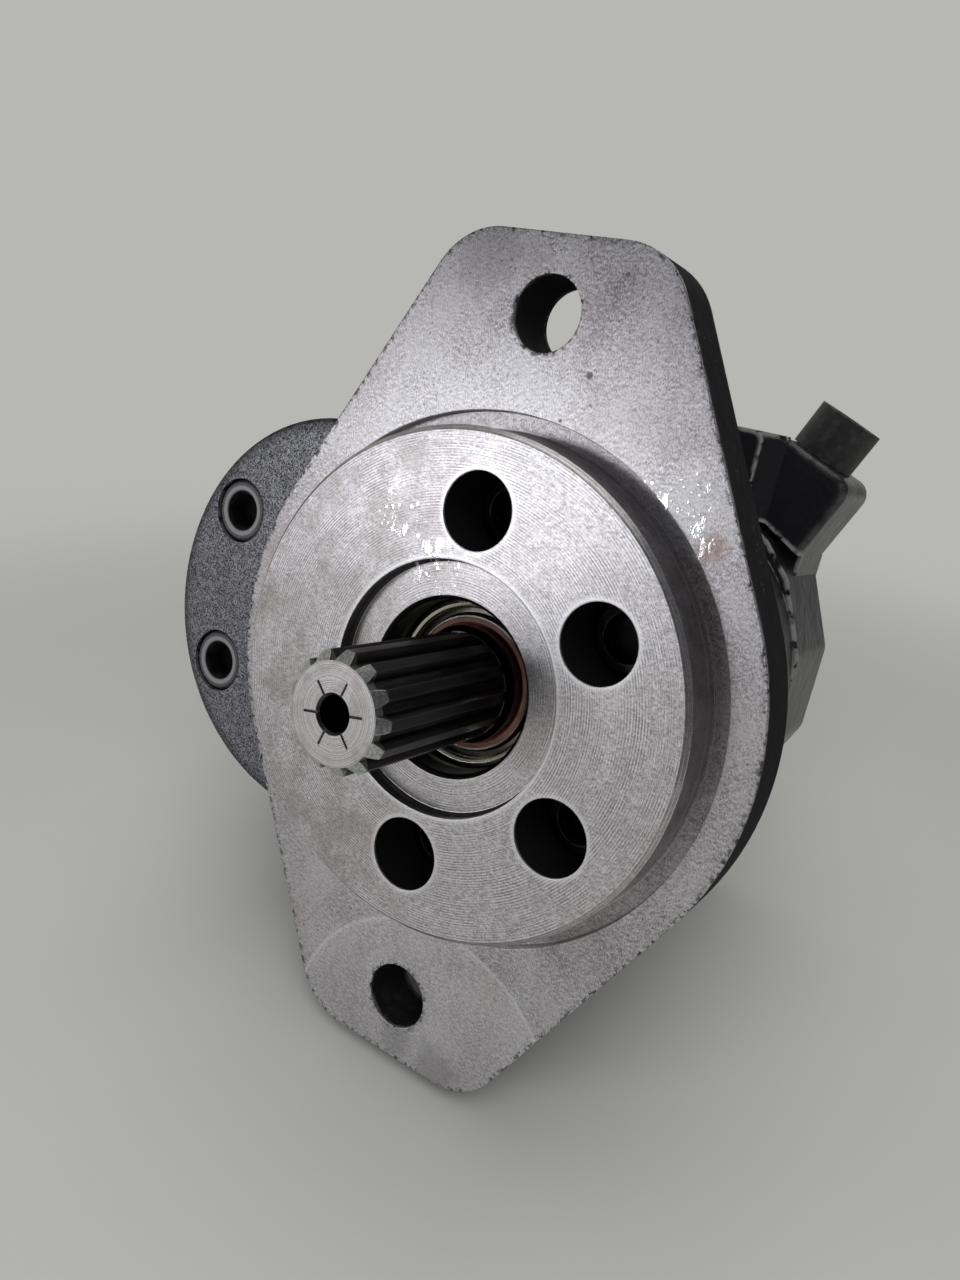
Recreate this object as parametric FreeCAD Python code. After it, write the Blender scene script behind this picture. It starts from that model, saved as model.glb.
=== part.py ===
"""External gear hydraulic motor with a two-bolt pilot flange and a 13-tooth splined shaft.

Frame: the origin is on the drive shaft's axis, in the plane of the flange's mounting face.
-Y runs out along the shaft, +Y into the body, +Z along the line of the two flange holes,
and the driven gear lies at -X.  Sections are drawn in the XZ plane.  Millimetres.
"""

import FreeCAD
import Part
import math
import os

Vector = FreeCAD.Vector
ALONG = Vector(0, 1, 0)

# Flange and pilot, SAE J744 size B with two bolts
BOLT_SPACING = 146.0
BOLT_HOLE_R = 7.15
FLANGE_THICK = 14.5
FLANGE_END = 87.3
FLANGE_SIDE_R = 61.0
FLANGE_SIDE_ANGLE = 28.5
FLANGE_CORNER_R = 15.0
FLANGE_EDGE_ROUND = 1.6
BOLT_PAD_START = 66.0
BOLT_PAD_DEPTH = 1.0
PILOT_R = 50.8
PILOT_HEIGHT = 9.5
PILOT_CHAMFER = 1.0
RELIEF_OUTER_R = 54.4
RELIEF_DEPTH = 2.2

# Body: two equal lobes, one about each shaft
SHAFT_CENTRES = 42.0
LOBE_R = 45.5
LOBE_FACE = 3.0
LOBE_CHAMFER = 0.8
COVER_BACK = 30.0
HOUSING_BACK = 80.0
BODY_BACK = 112.0
CAVITY_R = 24.85
GALLERY_HALF_WIDTH = 8.0
GALLERY_REACH = 22.0

# Gears, 12 teeth each
GEAR_TEETH = 12
GEAR_MODULE = 3.5
GEAR_PRESSURE_ANGLE = 25.0
GEAR_BACKLASH = 0.16
GEAR_FRONT = 42.1
GEAR_BACK = 67.9
JOURNAL_R = 12.0
SHAFT_REAR_END = 84.0
DRIVEN_FRONT_END = 26.0
SHAFT_CHAMFER = 1.0
SHAFT_POCKET_R = 12.9
SHAFT_POCKET_GAP = 1.5

# Splined shaft end: 13 teeth, 16/32 pitch, 30 degree pressure angle
SHAFT_TIP = 41.0
SPLINE_TEETH = 13
SPLINE_PITCH_R = 10.32
SPLINE_PRESSURE_ANGLE = 30.0
SPLINE_TIP_R = 10.9
SPLINE_ROOT_R = 9.1
SPLINE_TOOTH_GAP = 0.06
SPLINE_END = 2.5
SPLINE_RUNOUT = 1.5
SPLINE_CHAMFER_LENGTH = 1.9
CENTRE_HOLE_R = 3.2
CENTRE_HOLE_DEPTH = 12.0
CENTRE_CONE_R = 3.7
END_GROOVES = 6
END_GROOVE_TURN = 13.0
END_GROOVE_START = 3.4
END_GROOVE_END = 6.3
END_GROOVE_WIDTH = 0.5
END_GROOVE_DEPTH = 0.35

# Pilot face recess, shaft seal bore and seal
RECESS_R = 25.5
RECESS_FLOOR_R = 24.9
RECESS_DEPTH = 3.0
SEAL_MOUTH_R = 18.3
SEAL_MOUTH_CHAMFER = 1.0
SEAL_BORE_R = 17.5
SEAL_BORE_BACK = 8.3
SEAL_FRONT = 0.8
SEAL_WIDTH = 7.0
SHAFT_BORE_R = 13.2
SEAL_FIT = 0.02

# Shaft seal sections: (distance in from the can's outside, depth back from the seal's front)
CASE_WALL = 1.0
CASE_RIM = [(0, 0.9), (0.35, 0.25), (1.1, 0), (1.7, 0.25), (2.1, 1.0), (1.5, 1.5), (CASE_WALL, 1.8)]
INNER_CASE_GAP = 1.05
INNER_CASE_BACK = 6.4
INNER_CASE_SHEET = 0.9
INNER_CASE_FRONT = 2.4
INNER_CASE_COLLAR = [(14.4, 2.0), (13.85, 0.7), (13.45, 0.7), (13.45, 2.9)]
INNER_CASE_INSIDE = 3.3

# Lip section, as (radius, depth back from the seal's front).  It clears the journal by LIP_GAP.
LIP_GAP = 0.06
LIP_OUTSIDE = [
    (13.4, 1.0), (13.4, 3.0), (15.0, 3.4), (15.0, 4.2), (13.6, 4.2),
    (13.6, 4.7), (14.4, 4.7), (14.4, 6.7), (13.0, 6.7),
]
OIL_LIP_DEPTH = 5.3
LIP_INSIDE = [(12.9, 3.4), (12.9, 2.6)]
DUST_LIP_DEPTH = 1.4
LIP_NOSE = (12.6, 0.8)
GARTER_R = 14.95
GARTER_WIRE_R = 0.48
GARTER_DEPTH = 5.7

# Bushing blocks, journal bushings and their seals
BLOCK_R = 24.8
BLOCK_GAP = 0.05
BUSHING_OUTER_R = 14.0
BUSHING_INNER_R = 12.03
BUSHING_LENGTH = 10.8
BUSHING_FIT = 0.02
BLOCK_SEAL_R = 19.3
BLOCK_SEAL_HALF = 1.2
BLOCK_GROOVE_DEPTH = 3.1
BACKUP_THICK = 0.9
SEAL_SIDE_GAP = 0.05

# Section seals between the housing and the two covers
SECTION_SEAL_R = 28.3
SECTION_SEAL_HALF = 1.25
SECTION_GROOVE_DEPTH = 1.9

# Cap screws, 3/8 inch socket head, all one length
SCREW_CIRCLE_R = 35.4
SIDE_SCREW_ANGLE = 32.0
SCREW_R = 4.76
SCREW_HEAD_R = 7.14
SCREW_HEAD = 9.53
SCREW_LENGTH = 88.9
SCREW_SEAT = 13.0
SCREW_HEX = 7.94
SCREW_HEX_DEPTH = 4.8
SCREW_MOUTH_R = 5.0
SCREW_MOUTH_DEPTH = 1.0
SCREW_HEAD_CHAMFER = 0.5
SCREW_HOLE_R = 5.15
SCREW_THREAD_GAP = 0.03
COUNTERBORE_R = 7.55
TAPPED_DEPTH = 25.0

# Dowel pins
DOWEL_R = 4.0
DOWEL_HEIGHT = 37.0
DOWEL_HALF_LENGTH = 8.0
DOWEL_CHAMFER = 0.6
DOWEL_HOLE_SPARE = 1.0
DOWEL_GAP = 0.02

# Rear cover: port pads, main ports and drain port
PAD_TOP = 63.2
PAD_HALF_WIDTH = 43.0
# Corners of the casting's outline on its right upper quarter, from the end flat to the pad
CASTING_FACETS = [(45.4, 11.5), (37.4, 29.6), (30.0, 37.5), (22.0, 42.5)]
SHARP_BEND_HEIGHT = 40.0
CASTING_CORNER = 6.0
CASTING_EDGE = 2.0
PORT_R = 10.25
PORT_DEPTH = 20.0
PORT_Y = 96.0
PASSAGE_R = 7.0
PASSAGE_HEIGHT = 17.5
CORNER_ROUND = 3.0
DRAIN_ANGLE = 67.0
DRAIN_OFFSET = 6.8
DRAIN_FACE = 68.3
DRAIN_BOSS_FRONT = 84.0
DRAIN_BOSS_SIDE = 20.4
DRAIN_BOSS_LEFT = 27.0
DRAIN_BOSS_LOW = 41.3
DRAIN_BOSS_CORNER = 4.5
DRAIN_BOSS_FOOT = 47.0
DRAIN_BOSS_INNER = 0.3
DRAIN_BOSS_OVERLAP = 4.0
DRAIN_SHOULDER_OVERLAP = 3.0
DRAIN_SHOULDER_LAND = 2.0
DRAIN_WEB_FRONT = 89.0
DRAIN_WEB_FOOT = [(37.0, 29.0), (26.0, 36.0)]
DRAIN_Y = 97.5
DRAIN_PORT_R = 6.45
DRAIN_PORT_DEPTH = 14.0
DRAIN_DRILL_R = 3.0
DRAIN_DRILL_END = 4.0
DRAIN_CORE_R = 6.5
DRAIN_CORE_END = 101.0
PLUG_HEAD_R = 8.45
PLUG_HEAD = 11.5
PLUG_WALL = 1.6
PLUG_SHANK = 9.0
PLUG_FIT = 0.05

MID_X = -SHAFT_CENTRES / 2
DRIVE = (0.0, 0.0)
DRIVEN = (-SHAFT_CENTRES, 0.0)
GEAR_PITCH_R = GEAR_MODULE * GEAR_TEETH / 2
REAR_SCREW_SEAT = BODY_BACK - SCREW_SEAT + LOBE_FACE


def place(x, z, y):
    """The point at (x, z) in the section drawn at depth y."""
    return Vector(x, y, z)


def polar(radius, degrees, centre=DRIVE):
    """(x, z) at a radius and angle about a centre; 0 degrees is +X and 90 degrees is +Z."""
    angle = math.radians(degrees)
    return (centre[0] + radius * math.cos(angle), centre[1] + radius * math.sin(angle))


def rod(radius, front, back, centre=DRIVE):
    """A cylinder along the shafts, from depth front to depth back."""
    return Part.makeCylinder(radius, back - front, place(centre[0], centre[1], front), ALONG)


def tube(outer, inner, front, back, centre=DRIVE):
    return rod(outer, front, back, centre).cut(rod(inner, front - 1, back + 1, centre))


def block(x_low, x_high, z_low, z_high, front, back):
    return Part.makeBox(x_high - x_low, back - front, z_high - z_low, Vector(x_low, front, z_low))


def prism(outline, front, back):
    """A straight-sided outline of (x, z) points, carried from depth front to depth back."""
    points = [place(x, z, front) for x, z in outline]
    face = Part.Face(Part.makePolygon(points + points[:1]))
    return face.extrude(Vector(0, back - front, 0))


def turned(profile, centre=DRIVE):
    """A closed profile of (radius, depth) points turned about a shaft axis."""
    points = [place(centre[0] + radius, centre[1], y) for radius, y in profile]
    face = Part.Face(Part.makePolygon(points + points[:1]))
    return face.revolve(place(centre[0], centre[1], 0), ALONG, 360)


def lobes(radius, front, back):
    """The two-lobed body shape: a round end about each shaft joined by straight sides."""
    body = block(-SHAFT_CENTRES, 0, -radius, radius, front, back)
    return body.fuse([rod(radius, front, back), rod(radius, front, back, DRIVEN)])


def racetrack(middle_r, half_width, front, back):
    """A band of even width along the outline of the two lobes."""
    return lobes(middle_r + half_width, front, back).cut(lobes(middle_r - half_width, front, back))


def arc_edge(centre, radius, start, end, y):
    points = [place(*polar(radius, a, centre), y) for a in (start, (start + end) / 2, end)]
    return Part.Arc(*points).toShape()


def line_edge(start, end, y):
    return Part.LineSegment(place(*start, y), place(*end, y)).toShape()


def edge_rounded(shape, radius, wanted):
    """Round the edges that the test picks out."""
    edges = [edge for edge in shape.Edges if wanted(edge)]
    return shape.makeFillet(radius, edges)


def chamfered(shape, size, wanted):
    edges = [edge for edge in shape.Edges if wanted(edge)]
    return shape.makeChamfer(size, edges)


def lies_at(edge, y):
    box = edge.BoundBox
    return abs(box.YMin - y) < 0.01 and abs(box.YMax - y) < 0.01


def runs_back(edge):
    """True for an edge along the shafts."""
    box = edge.BoundBox
    return box.XLength < 0.1 and box.ZLength < 0.1


# ---------------------------------------------------------------- toothed sections

def involute(angle):
    return math.tan(angle) - angle


def tooth_flank(base_r, pitch_r, pressure, half_tooth, radii):
    """(radius, half angle) down one flank of a tooth, in degrees from the tooth's middle."""
    flank = []
    for radius in radii:
        roll = math.acos(min(1.0, base_r / radius))
        half = half_tooth / pitch_r + involute(pressure) - involute(roll)
        flank.append((radius, math.degrees(half)))
    return flank


def toothed_rod(teeth, pitch_r, pressure_deg, tip_r, root_r, thickness, turn, centre, front, back):
    """A straight-toothed rod.  turn is the angle of one tooth's middle, in degrees."""
    pressure = math.radians(pressure_deg)
    base_r = pitch_r * math.cos(pressure)
    start_r = max(base_r, root_r)
    middle_r = (start_r + tip_r) / 2
    flank = tooth_flank(base_r, pitch_r, pressure, thickness / 2, (start_r, middle_r, tip_r))
    step = 360.0 / teeth
    edges = []

    def at(radius, degrees):
        return place(*polar(radius, degrees, centre), front)

    def line(first, last):
        edges.append(Part.LineSegment(at(*first), at(*last)).toShape())

    def curve(first, middle, last):
        edges.append(Part.Arc(at(*first), at(*middle), at(*last)).toShape())

    for number in range(teeth):
        axis = turn + number * step
        rise = [(radius, axis - half) for radius, half in flank]
        fall = [(radius, axis + half) for radius, half in reversed(flank)]
        foot = (root_r, fall[-1][1])
        next_foot = (root_r, rise[0][1] + step)
        if start_r > root_r:
            line((root_r, rise[0][1]), rise[0])
        curve(*rise)
        curve(rise[-1], (tip_r, axis), fall[0])
        curve(*fall)
        if start_r > root_r:
            line(fall[-1], foot)
        curve(foot, (root_r, axis + step / 2), next_foot)
    face = Part.Face(Part.Wire(edges))
    return face.extrude(Vector(0, back - front, 0))


def gear(centre, turn):
    thickness = math.pi * GEAR_MODULE / 2 - GEAR_BACKLASH
    tip_r = GEAR_PITCH_R + GEAR_MODULE
    root_r = GEAR_PITCH_R - 1.25 * GEAR_MODULE
    return toothed_rod(GEAR_TEETH, GEAR_PITCH_R, GEAR_PRESSURE_ANGLE, tip_r, root_r, thickness,
                       turn, centre, GEAR_FRONT, GEAR_BACK)


# ---------------------------------------------------------------- places of the fasteners

def side_screws():
    """Screws beside the shafts, reached from the front: two on each lobe's outer side."""
    places = []
    for sign in (1, -1):
        places.append(polar(SCREW_CIRCLE_R, sign * SIDE_SCREW_ANGLE))
        places.append(polar(SCREW_CIRCLE_R, sign * (180 - SIDE_SCREW_ANGLE), DRIVEN))
    return places


def front_screws():
    return side_screws() + [(0, SCREW_CIRCLE_R), (0, -SCREW_CIRCLE_R)]


def rear_screws():
    """Screws on the driven lobe that the flange hides from the front."""
    return [(-SHAFT_CENTRES, SCREW_CIRCLE_R), (-SHAFT_CENTRES, -SCREW_CIRCLE_R)]


def dowel_places():
    return [(MID_X, DOWEL_HEIGHT), (MID_X, -DOWEL_HEIGHT)]


def dowel_holes(joint_y):
    reach = DOWEL_HALF_LENGTH + DOWEL_HOLE_SPARE
    front, back = joint_y - reach, joint_y + reach
    return [rod(DOWEL_R + DOWEL_GAP, front, back, spot) for spot in dowel_places()]


# ---------------------------------------------------------------- castings

def flange_outline(y):
    """Flat ends, round corners and straight sides that run into an arc about the shaft."""
    side = math.radians(FLANGE_SIDE_ANGLE)
    meet = (FLANGE_SIDE_R - math.sin(side) * FLANGE_END) / math.cos(side)
    corner_x = meet - FLANGE_CORNER_R * math.tan((math.pi / 2 - side) / 2)
    corner_z = FLANGE_END - FLANGE_CORNER_R
    angle = FLANGE_SIDE_ANGLE
    arcs = [
        (DRIVE, FLANGE_SIDE_R, -angle, angle),
        ((corner_x, corner_z), FLANGE_CORNER_R, angle, 90),
        ((-corner_x, corner_z), FLANGE_CORNER_R, 90, 180 - angle),
        (DRIVE, FLANGE_SIDE_R, 180 - angle, 180 + angle),
        ((-corner_x, -corner_z), FLANGE_CORNER_R, 180 + angle, 270),
        ((corner_x, -corner_z), FLANGE_CORNER_R, 270, 360 - angle),
    ]
    edges = []
    for arc, following in zip(arcs, arcs[1:] + arcs[:1]):
        centre, radius, start, end = arc
        edges.append(arc_edge(centre, radius, start, end, y))
        next_centre, next_radius, next_start, _ = following
        next_point = polar(next_radius, next_start, next_centre)
        edges.append(line_edge(polar(radius, end, centre), next_point, y))
    return Part.Wire(edges)


def flange_plate():
    plate = Part.Face(flange_outline(0)).extrude(Vector(0, FLANGE_THICK, 0))
    plate = edge_rounded(plate, FLANGE_EDGE_ROUND, lambda edge: lies_at(edge, FLANGE_THICK))
    far = FLANGE_END + 1
    pad_face = FLANGE_THICK - BOLT_PAD_DEPTH
    pads = [block(-far, far, low, high, pad_face, FLANGE_THICK + 1)
            for low, high in ((BOLT_PAD_START, far), (-far, -BOLT_PAD_START))]
    return plate.cut(pads)


def make_front_cover():
    body = lobes(LOBE_R, LOBE_FACE, COVER_BACK)
    body = chamfered(body, LOBE_CHAMFER,
                     lambda edge: lies_at(edge, LOBE_FACE) and edge.Length > 2 * LOBE_R)
    pilot = turned([
        (0, FLANGE_THICK / 2),
        (PILOT_R, FLANGE_THICK / 2),
        (PILOT_R, PILOT_CHAMFER - PILOT_HEIGHT),
        (PILOT_R - PILOT_CHAMFER, -PILOT_HEIGHT),
        (0, -PILOT_HEIGHT),
    ])
    cover = flange_plate().fuse([body, pilot])
    recess_floor = RECESS_DEPTH - PILOT_HEIGHT
    shaft_way = turned([
        (0, -PILOT_HEIGHT - 1),
        (RECESS_R, -PILOT_HEIGHT - 1),
        (RECESS_R, recess_floor - (RECESS_R - RECESS_FLOOR_R)),
        (RECESS_FLOOR_R, recess_floor),
        (SEAL_MOUTH_R, recess_floor),
        (SEAL_BORE_R, recess_floor + SEAL_MOUTH_CHAMFER),
        (SEAL_BORE_R, SEAL_BORE_BACK),
        (SHAFT_BORE_R, SEAL_BORE_BACK),
        (SHAFT_BORE_R, COVER_BACK + 1),
        (0, COVER_BACK + 1),
    ])
    cuts = [shaft_way, tube(RELIEF_OUTER_R, PILOT_R, -1, RELIEF_DEPTH)]
    cuts.append(rod(SHAFT_POCKET_R, DRIVEN_FRONT_END - SHAFT_POCKET_GAP, COVER_BACK + 1, DRIVEN))
    for z in (BOLT_SPACING / 2, -BOLT_SPACING / 2):
        cuts.append(rod(BOLT_HOLE_R, -1, FLANGE_THICK + 1, (0, z)))
    for spot in front_screws():
        cuts.append(rod(COUNTERBORE_R, -PILOT_HEIGHT - 1, SCREW_SEAT, spot))
        cuts.append(rod(SCREW_HOLE_R, SCREW_SEAT - 1, COVER_BACK + 1, spot))
    thread_end = REAR_SCREW_SEAT - SCREW_LENGTH - 1
    for spot in rear_screws():
        cuts.append(rod(SCREW_R + SCREW_THREAD_GAP, thread_end, COVER_BACK + 1, spot))
    cuts += dowel_holes(COVER_BACK)
    groove_floor = COVER_BACK - SECTION_GROOVE_DEPTH
    cuts.append(racetrack(SECTION_SEAL_R, SECTION_SEAL_HALF, groove_floor, COVER_BACK + 1))
    return cover.cut(cuts)


def make_gear_housing():
    body = lobes(LOBE_R, COVER_BACK, HOUSING_BACK)
    cuts = [rod(CAVITY_R, COVER_BACK - 1, HOUSING_BACK + 1, centre) for centre in (DRIVE, DRIVEN)]
    gallery = block(MID_X - GALLERY_HALF_WIDTH, MID_X + GALLERY_HALF_WIDTH,
                    -GALLERY_REACH, GALLERY_REACH, GEAR_FRONT, HOUSING_BACK + 1)
    gallery = edge_rounded(gallery, CORNER_ROUND, runs_back)
    cuts.append(gallery)
    for spot in front_screws() + rear_screws():
        cuts.append(rod(SCREW_HOLE_R, COVER_BACK - 1, HOUSING_BACK + 1, spot))
    cuts += dowel_holes(COVER_BACK) + dowel_holes(HOUSING_BACK)
    return body.cut(cuts)


def drain_point(outward, sideways):
    """(x, z) at a distance out along the drain port's direction and to its right."""
    angle = math.radians(DRAIN_ANGLE)
    x = outward * math.cos(angle) + sideways * math.sin(angle)
    z = outward * math.sin(angle) - sideways * math.cos(angle)
    return (x, z)


def drain_rod(radius, start, end):
    """A cylinder on the drain port's axis between two distances out from the shaft."""
    x, z = drain_point(start, DRAIN_OFFSET)
    angle = math.radians(DRAIN_ANGLE)
    outward = Vector(math.cos(angle), 0, math.sin(angle))
    return Part.makeCylinder(radius, end - start, place(x, z, DRAIN_Y), outward)


def rear_cover_outline():
    """Many-sided outline of the rear casting, the same at both ends and above and below."""
    quarter = CASTING_FACETS + [(MID_X + PAD_HALF_WIDTH, PAD_TOP)]
    mirrored = [(2 * MID_X - x, z) for x, z in reversed(quarter)]
    upper = quarter + mirrored
    return upper + [(x, -z) for x, z in reversed(upper)]


def corner_edge(spot):
    """A test for the edge along the shafts that stands at (x, z)."""
    def wanted(edge):
        box = edge.BoundBox
        near = math.hypot(box.Center.x - spot[0], box.Center.z - spot[1]) < 0.1
        return near and runs_back(edge)
    return wanted


def on_boss_rim(edge):
    """True for an edge of the drain boss's section that bounds its outer or right side."""
    if edge.BoundBox.YLength > 0.01:
        return False
    middle = edge.valueAt((edge.FirstParameter + edge.LastParameter) / 2)
    angle = math.radians(DRAIN_ANGLE)
    outward = middle.x * math.cos(angle) + middle.z * math.sin(angle)
    sideways = middle.x * math.sin(angle) - middle.z * math.cos(angle)
    on_outer = outward > DRAIN_FACE - 0.1
    on_side = sideways > DRAIN_BOSS_SIDE - 0.1
    near_face = outward > DRAIN_FACE - DRAIN_BOSS_CORNER
    near_side = sideways > DRAIN_BOSS_SIDE - DRAIN_BOSS_CORNER
    return on_outer or on_side or (near_face and near_side)


def drain_boss():
    """The faceted boss at the upper right that carries the drain port."""
    pad_side = MID_X + PAD_HALF_WIDTH
    outer_corner = drain_point(DRAIN_FACE, DRAIN_BOSS_SIDE)
    foot = drain_point(DRAIN_BOSS_FOOT, DRAIN_BOSS_SIDE)
    outline = [
        (pad_side - DRAIN_BOSS_OVERLAP, PAD_TOP),
        drain_point(DRAIN_FACE, DRAIN_BOSS_INNER),
        outer_corner,
        foot,
        (DRAIN_BOSS_LEFT, DRAIN_BOSS_LOW),
        (pad_side - DRAIN_BOSS_OVERLAP, DRAIN_BOSS_LOW),
    ]
    boss = prism(outline, DRAIN_BOSS_FRONT, BODY_BACK)
    boss = edge_rounded(boss, DRAIN_BOSS_CORNER, corner_edge(outer_corner))
    boss = edge_rounded(boss, CASTING_EDGE, on_boss_rim)
    buried = pad_side - DRAIN_SHOULDER_OVERLAP
    land = DRAIN_BOSS_FRONT + DRAIN_SHOULDER_LAND
    depth_points = [
        (buried, HOUSING_BACK + 1),
        (pad_side, HOUSING_BACK + 1),
        (DRAIN_BOSS_LEFT, DRAIN_BOSS_FRONT),
        (DRAIN_BOSS_LEFT, land),
        (buried, land),
    ]
    points = [place(x, DRAIN_BOSS_LOW, y) for x, y in depth_points]
    section = Part.Face(Part.makePolygon(points + points[:1]))
    shoulder = section.extrude(Vector(0, 0, PAD_TOP - DRAIN_BOSS_LOW))
    web_outline = [(DRAIN_BOSS_LEFT, DRAIN_BOSS_LOW), foot] + DRAIN_WEB_FOOT
    web = prism(web_outline, DRAIN_WEB_FRONT, BODY_BACK)
    return [boss, shoulder, web]


def rear_casting():
    """The outside of the rear cover, before its bores are cut."""
    outline = rear_cover_outline()
    body = prism(outline, HOUSING_BACK, BODY_BACK)
    for spot in outline:
        size = CASTING_CORNER if abs(spot[1]) < SHARP_BEND_HEIGHT else CORNER_ROUND
        body = edge_rounded(body, size, corner_edge(spot))
    body = edge_rounded(body, CASTING_EDGE, lambda edge: lies_at(edge, BODY_BACK))
    return body.fuse([lobes(LOBE_R, HOUSING_BACK, DRAIN_BOSS_FRONT)] + drain_boss())


def make_rear_cover():
    cover = rear_casting()
    cuts = []
    for sign in (1, -1):
        down = Vector(0, 0, -sign)
        mouth = Vector(MID_X, PORT_Y, sign * PAD_TOP)
        cuts.append(Part.makeCylinder(PORT_R, PORT_DEPTH, mouth, down))
        cuts.append(Part.makeCylinder(PASSAGE_R, PAD_TOP - PASSAGE_HEIGHT, mouth, down))
        cuts.append(rod(PASSAGE_R, HOUSING_BACK - 1, PORT_Y, (MID_X, sign * PASSAGE_HEIGHT)))
    cuts.append(drain_rod(DRAIN_PORT_R, DRAIN_FACE - DRAIN_PORT_DEPTH, DRAIN_FACE + 5))
    cuts.append(drain_rod(DRAIN_DRILL_R, DRAIN_DRILL_END, DRAIN_FACE))
    cuts.append(rod(DRAIN_CORE_R, HOUSING_BACK, DRAIN_CORE_END))
    for centre in (DRIVE, DRIVEN):
        cuts.append(rod(SHAFT_POCKET_R, HOUSING_BACK - 1, SHAFT_REAR_END + SHAFT_POCKET_GAP, centre))
    thread_end = HOUSING_BACK + TAPPED_DEPTH
    for spot in front_screws():
        cuts.append(rod(SCREW_R + SCREW_THREAD_GAP, HOUSING_BACK - 1, thread_end, spot))
    for spot in rear_screws():
        cuts.append(rod(SCREW_HOLE_R, HOUSING_BACK - 1, BODY_BACK, spot))
        cuts.append(rod(COUNTERBORE_R, REAR_SCREW_SEAT, BODY_BACK + 1, spot))
    cuts += dowel_holes(HOUSING_BACK)
    groove_floor = HOUSING_BACK + SECTION_GROOVE_DEPTH
    cuts.append(racetrack(SECTION_SEAL_R, SECTION_SEAL_HALF, HOUSING_BACK - 1, groove_floor))
    return cover.cut(cuts)


# ---------------------------------------------------------------- gear shafts

def end_grooves():
    """Short radial grooves in the shaft's end face, around the centre hole."""
    outer, inner = -SHAFT_TIP - END_GROOVE_DEPTH, END_GROOVE_DEPTH - SHAFT_TIP
    section = [(-END_GROOVE_WIDTH, outer), (END_GROOVE_WIDTH, outer), (0, inner)]
    points = [place(END_GROOVE_START, z, y) for z, y in section]
    face = Part.Face(Part.makePolygon(points + points[:1]))
    groove = face.extrude(Vector(END_GROOVE_END - END_GROOVE_START, 0, 0))
    grooves = []
    for number in range(END_GROOVES):
        turned_groove = groove.copy()
        turn = -END_GROOVE_TURN - number * 360.0 / END_GROOVES
        turned_groove.rotate(Vector(0, 0, 0), ALONG, turn)
        grooves.append(turned_groove)
    return grooves


def make_drive_gear_shaft():
    """The splined drive shaft, with its gear cut from the same forging."""
    journal = turned([
        (0, -SPLINE_END),
        (SPLINE_TIP_R, -SPLINE_END),
        (JOURNAL_R, -SPLINE_END + SPLINE_RUNOUT),
        (JOURNAL_R, SHAFT_REAR_END - SHAFT_CHAMFER),
        (JOURNAL_R - SHAFT_CHAMFER, SHAFT_REAR_END),
        (0, SHAFT_REAR_END),
    ])
    thickness = math.pi * SPLINE_PITCH_R / SPLINE_TEETH - SPLINE_TOOTH_GAP
    spline = toothed_rod(SPLINE_TEETH, SPLINE_PITCH_R, SPLINE_PRESSURE_ANGLE, SPLINE_TIP_R,
                         SPLINE_ROOT_R, thickness, 90, DRIVE, -SHAFT_TIP, -SPLINE_END)
    clear_r = SPLINE_TIP_R + 0.2
    envelope = turned([
        (0, -SHAFT_TIP),
        (SPLINE_ROOT_R, -SHAFT_TIP),
        (clear_r, SPLINE_CHAMFER_LENGTH - SHAFT_TIP),
        (clear_r, 0),
        (0, 0),
    ])
    hole = turned([
        (0, -SHAFT_TIP - 1),
        (CENTRE_CONE_R, -SHAFT_TIP - 1),
        (CENTRE_CONE_R, -SHAFT_TIP),
        (CENTRE_HOLE_R, CENTRE_CONE_R - CENTRE_HOLE_R - SHAFT_TIP),
        (CENTRE_HOLE_R, CENTRE_HOLE_DEPTH - SHAFT_TIP),
        (0, CENTRE_HOLE_DEPTH + CENTRE_HOLE_R / 2 - SHAFT_TIP),
    ])
    shaft = spline.common(envelope).fuse([journal, gear(DRIVE, 180)])
    return shaft.cut([hole] + end_grooves())


def make_driven_gear_shaft():
    journal = turned([
        (0, DRIVEN_FRONT_END),
        (JOURNAL_R - SHAFT_CHAMFER, DRIVEN_FRONT_END),
        (JOURNAL_R, DRIVEN_FRONT_END + SHAFT_CHAMFER),
        (JOURNAL_R, SHAFT_REAR_END - SHAFT_CHAMFER),
        (JOURNAL_R - SHAFT_CHAMFER, SHAFT_REAR_END),
        (0, SHAFT_REAR_END),
    ], DRIVEN)
    half_pitch = 180.0 / GEAR_TEETH
    return journal.fuse(gear(DRIVEN, half_pitch))


# ---------------------------------------------------------------- bushing blocks and seals

def block_span(at_front):
    """Front and back depths of a bushing block."""
    if at_front:
        return (COVER_BACK + BLOCK_GAP, GEAR_FRONT - 2 * BLOCK_GAP)
    return (GEAR_BACK + 2 * BLOCK_GAP, HOUSING_BACK - BLOCK_GAP)


def block_seal_band(half_width, front, back):
    """A ring about each journal, joined by a short bridge between them."""
    outer, inner = BLOCK_SEAL_R + half_width, BLOCK_SEAL_R - half_width
    rings = tube(outer, inner, front, back).fuse(tube(outer, inner, front, back, DRIVEN))
    reach = SHAFT_CENTRES / 2 - inner - half_width
    bridge = block(MID_X - reach, MID_X + reach, -half_width, half_width, front, back)
    return rings.fuse(bridge).removeSplitter()


def bushing_block(at_front):
    front, back = block_span(at_front)
    body = rod(BLOCK_R, front, back).fuse(rod(BLOCK_R, front, back, DRIVEN))
    cuts = [rod(BUSHING_OUTER_R + BUSHING_FIT, front - 1, back + 1, centre) for centre in (DRIVE, DRIVEN)]
    if at_front:
        cuts.append(block_seal_band(BLOCK_SEAL_HALF, front - 1, front + BLOCK_GROOVE_DEPTH))
    else:
        cuts.append(block_seal_band(BLOCK_SEAL_HALF, back - BLOCK_GROOVE_DEPTH, back + 1))
    return body.cut(cuts)


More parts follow.
